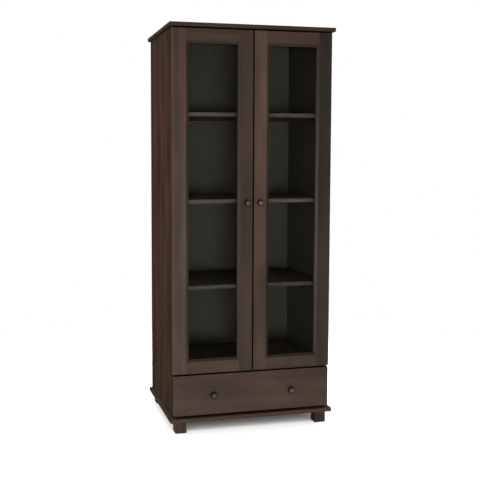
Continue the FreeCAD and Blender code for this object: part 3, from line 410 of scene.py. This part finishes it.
def hardboard(name, coat=None):
    """Pressed board: matted fibres in no direction, specks and clouds, and a coat on the front if given."""
    material = bpy.data.materials.new(name)
    tree = Tree(material)
    place = tree.add("TexCoord").outputs["Object"]
    patterns = {key: tree.noise(place, *values) for key, values in BOARD_PATTERNS.items()}
    matting = patterns["matting"]
    specks = tree.spread(patterns["specks"], *BOARD_SPECKS)
    marks = tree.spread(tree.total(patterns, {"clouds": 0.3, "mottle": 0.7}), *MIDDLE_BAND)
    tint = tree.blend(marks, rgba(shaded(RAW_BOARD, 0.82)), rgba(shaded(RAW_BOARD, 1.1)))
    tint = tree.blend(tree.math("MULTIPLY", matting, 0.5), tint, rgba(shaded(RAW_BOARD, 1.4)))
    tint = tree.blend(tree.math("MULTIPLY", specks, 0.5), tint, rgba(shaded(RAW_BOARD, 0.4)))
    if coat:
        coated = tree.blend(patterns["clouds"], rgba(shaded(coat, 0.92)), rgba(shaded(coat, 1.2)))
        tint = tree.blend(tree.spread(facing(tree)["Y"], -0.8, -0.5), coated, tint)
    roughness = tree.spread(matting, *WIDE_BAND, *BOARD_ROUGHNESS)
    bump = tree.add("Bump", {"Strength": 0.06, "Distance": 0.0002, "Height": matting})
    shader = tree.add("BsdfPrincipled", {
        "Base Color": tint, "Roughness": roughness, "Normal": bump.outputs[0],
        "Specular IOR Level": 0.1,
    })
    tree.finish(shader.outputs[0])
    return material


def steel(name, level, dullness):
    """Plated pressed steel: fine brush lines, faint smudges and rubbed edges."""
    material = bpy.data.materials.new(name)
    tree = Tree(material)
    lines = tree.noise(stretched(tree, "z", 1500, 60, (0, 0, 0)), 1.0, 3)
    smudges = tree.noise(tree.add("TexCoord").outputs["Object"], 160, 3)
    edges, soft = edge_mask(tree, STEEL_EDGE)
    dark, light, bare = (rgba(shaded(PLATING, share * level)) for share in (0.88, 1.12, 1.35))
    tint = tree.blend(smudges, dark, light)
    tint = tree.blend(tree.math("MULTIPLY", edges, 0.5), tint, bare)
    rubbed = tree.math("ADD", lines, smudges)
    roughness = tree.spread(rubbed, 0.7, 1.3, dullness - 0.1, dullness + 0.1)
    bump = tree.add("Bump", {"Strength": 0.1, "Distance": 0.0001, "Height": lines, "Normal": soft})
    shader = tree.add("BsdfPrincipled", {
        "Base Color": tint, "Metallic": 1.0, "Roughness": roughness, "Normal": bump.outputs[0],
    })
    tree.finish(shader.outputs[0])
    return material


def glass(name):
    """Clear sheet glass that lamps shine through, with a faint drawn waviness and a trace of dust."""
    material = bpy.data.materials.new(name)
    tree = Tree(material)
    place = tree.add("TexCoord").outputs["Object"]
    waves = tree.noise(place, 2.2, 1)
    dust = tree.noise(place, 30, 4)
    roughness = tree.spread(dust, 0.45, 0.8, 0.0, 0.006)
    bump = tree.add("Bump", {"Strength": 0.006, "Distance": 0.002, "Height": waves})
    shader = tree.add("BsdfPrincipled", {
        "Base Color": rgba(GLASS_TINT), "Roughness": roughness, "IOR": GLASS_IOR,
        "Transmission Weight": 1.0, "Normal": bump.outputs[0],
    })
    clear = tree.add("BsdfTransparent", {"Color": rgba(GLASS_SHADE)})
    shadow = tree.add("LightPath").outputs["Is Shadow Ray"]
    mix = tree.add("MixShader", {"Fac": shadow, 1: shader.outputs[0], 2: clear.outputs[0]})
    tree.finish(mix.outputs[0])
    return material


def paint(node, material):
    mesh = nodes[node].data
    mesh.materials.clear()
    mesh.materials.append(material)


def is_front(node):
    return node.startswith(("door", "drawer"))


def tone_of(node):
    if "knob" in node:
        return KNOB_TONE
    return TONES.get(node, SHELF_TONE if node.startswith("shelf") else OTHER_TONE)


def shade_shares_of(node):
    if "knob" in node:
        return KNOB_PAINTED_SHADE
    if "meeting" in node:
        return MEETING_PAINTED_SHADE
    if is_front(node):
        return FRONT_PAINTED_SHADE
    if node in ("top_board", "bottom_board"):
        return BOARD_PAINTED_SHADE
    return None


def finish_of(node):
    if node in INSIDES:
        return PANEL_FINISH
    if node == "door_right_outer_stile":
        return CALM_FRONT_FINISH
    return FRONT_FINISH if is_front(node) else CASE_FINISH


def stained_wood(node, seed):
    colour = shaded(FRONT_STAIN_AND_SHEEN if is_front(node) else STAIN, *tone_of(node))
    inside = INSIDES.get(node, 0)
    return wood(f"stained_{node}", node, colour, seed, finish_of(node), shade_shares_of(node), inside)


def dress():
    """Give each CAD piece the material of its slot in the record."""
    slots = {part["node"]: part["material_slot"] for part in frame["record"]["subparts"]}
    nickel = steel("nickel_plated_steel", *NICKEL)
    zinc = steel("dull_zinc", *ZINC)
    pane = glass("clear_glass")
    boards = {
        "back_panel": hardboard("coated_hardboard", DARK_BOARD),
        "drawer_bottom": hardboard("raw_hardboard"),
    }
    for seed, node in enumerate(sorted(slots)):
        slot = slots[node]
        if slot == "steel_fittings":
            paint(node, zinc if node in ZINC_NODES else nickel)
        elif slot == "clear_glass":
            paint(node, pane)
        elif slot == "hardboard":
            paint(node, boards[node])
        elif slot == "pale_wood":
            paint(node, wood(f"pale_{node}", node, BARE_WOOD, seed, PALE_FINISH))
        else:
            paint(node, stained_wood(node, seed))


def seen_rays(tree):
    """Masks for rays from the camera, also through glass, and for rays that gloss or glass threw back."""
    rays = tree.add("LightPath").outputs
    thrown = tree.math("GREATER_THAN", rays["Glossy Depth"], 0.5)
    passed = tree.math("SUBTRACT", rays["Is Transmission Ray"], thrown)
    through = tree.math("MAXIMUM", rays["Is Camera Ray"], passed)
    glossy = tree.math("MULTIPLY", rays["Is Transmission Ray"], thrown)
    return through, tree.math("MAXIMUM", rays["Is Glossy Ray"], glossy)


def add_floor():
    """A pale floor that keeps the shadow near the cabinet and fades to the backdrop's white."""
    size = FLOOR_REACH
    corners = [(-size, -size, 0), (size, -size, 0), (size, size, 0), (-size, size, 0)]
    mesh = bpy.data.meshes.new("studio_floor")
    mesh.from_pydata(corners, [], [(0, 1, 2, 3)])
    floor = bpy.data.objects.new("studio_floor", mesh)
    scene.collection.objects.link(floor)
    material = bpy.data.materials.new("studio_floor")
    tree = Tree(material)
    place = tree.add("TexCoord").outputs["Object"]
    distance = tree.add("VectorMath", {0: place}, operation="LENGTH").outputs["Value"]
    fade = {"Value": distance, **FLOOR_FADE}
    far = tree.add("MapRange", fade, interpolation_type="SMOOTHSTEP").outputs[0]
    through, glossy = seen_rays(tree)
    glow = tree.math("MULTIPLY", through, tree.spread(far, 0, 1, *FLOOR_GLOW))
    thrown = tree.blend(glossy, grey(FLOOR_BOUNCED), grey(FLOOR_MIRRORED))
    seen = tree.blend(far, grey(FLOOR_SEEN), grey(0))
    paper = tree.add("BsdfDiffuse", {"Color": tree.blend(through, thrown, seen)})
    light = tree.add("Emission", {"Color": rgba(WHITE), "Strength": glow})
    both = tree.add("AddShader", {0: paper.outputs[0], 1: light.outputs[0]})
    tree.finish(both.outputs[0])
    mesh.materials.append(material)
    return floor


def add_world():
    """White behind the cabinet, a dim room in its gloss, and a soft even light from all round."""
    world = bpy.data.worlds.new("studio")
    scene.world = world
    tree = Tree(world)
    through, glossy = seen_rays(tree)
    direction = tree.add("TexCoord").outputs["Generated"]
    depth = tree.add("SeparateXYZ", {0: direction}).outputs["Y"]
    room = tree.spread(depth, *ROOM_DEPTH, *ROOM_STRENGTH)
    white = tree.add("Background", {"Color": rgba(WHITE), "Strength": 1.0})
    dim = tree.add("Background", {"Color": rgba(WHITE), "Strength": room})
    soft = tree.add("Background", {"Color": rgba(AMBIENT_COLOUR), "Strength": AMBIENT_STRENGTH})
    mix = tree.add("MixShader", {"Fac": glossy, 1: soft.outputs[0], 2: dim.outputs[0]})
    mix = tree.add("MixShader", {"Fac": through, 1: mix.outputs[0], 2: white.outputs[0]})
    tree.finish(mix.outputs[0], "OutputWorld")


def add_softbox(name, place, target, size, power, colour, only=None):
    """A lamp that the camera doesn't see, also not through the panes. It can light one object alone."""
    lamp = bpy.data.lights.new(name, "AREA")
    lamp.shape = "RECTANGLE"
    lamp.size, lamp.size_y = size
    lamp.energy = power
    lamp.color = colour
    box = bpy.data.objects.new(name, lamp)
    box.location = place
    aim = Vector(target) - Vector(place)
    box.rotation_euler = aim.to_track_quat("-Z", "Y").to_euler()
    box.visible_camera = False
    box.visible_transmission = False
    scene.collection.objects.link(box)
    if only:
        box.visible_glossy = False
        lit = bpy.data.collections.new(f"{name}_lit")
        lit.objects.link(only)
        box.light_linking.receiver_collection = lit


def add_camera():
    lens = bpy.data.cameras.new("camera")
    lens.sensor_width = SENSOR_WIDTH
    lens.lens = FOCAL_PIXELS / IMAGE_SIZE * SENSOR_WIDTH
    lens.shift_x = 0.5 - PRINCIPAL_POINT[0] / IMAGE_SIZE
    lens.shift_y = PRINCIPAL_POINT[1] / IMAGE_SIZE - 0.5
    camera = bpy.data.objects.new("camera", lens)
    camera.location = CAMERA_PLACE
    camera.rotation_euler = (math.radians(90 + CAMERA_TILT), 0, math.radians(-CAMERA_TURN))
    scene.collection.objects.link(camera)
    scene.camera = camera


dress()
floor = add_floor()
add_world()
for softbox in CABINET_LAMPS:
    add_softbox(*softbox)
for softbox in FLOOR_LAMPS:
    add_softbox(*softbox, only=floor)
add_camera()
scene.view_settings.view_transform = "Standard"
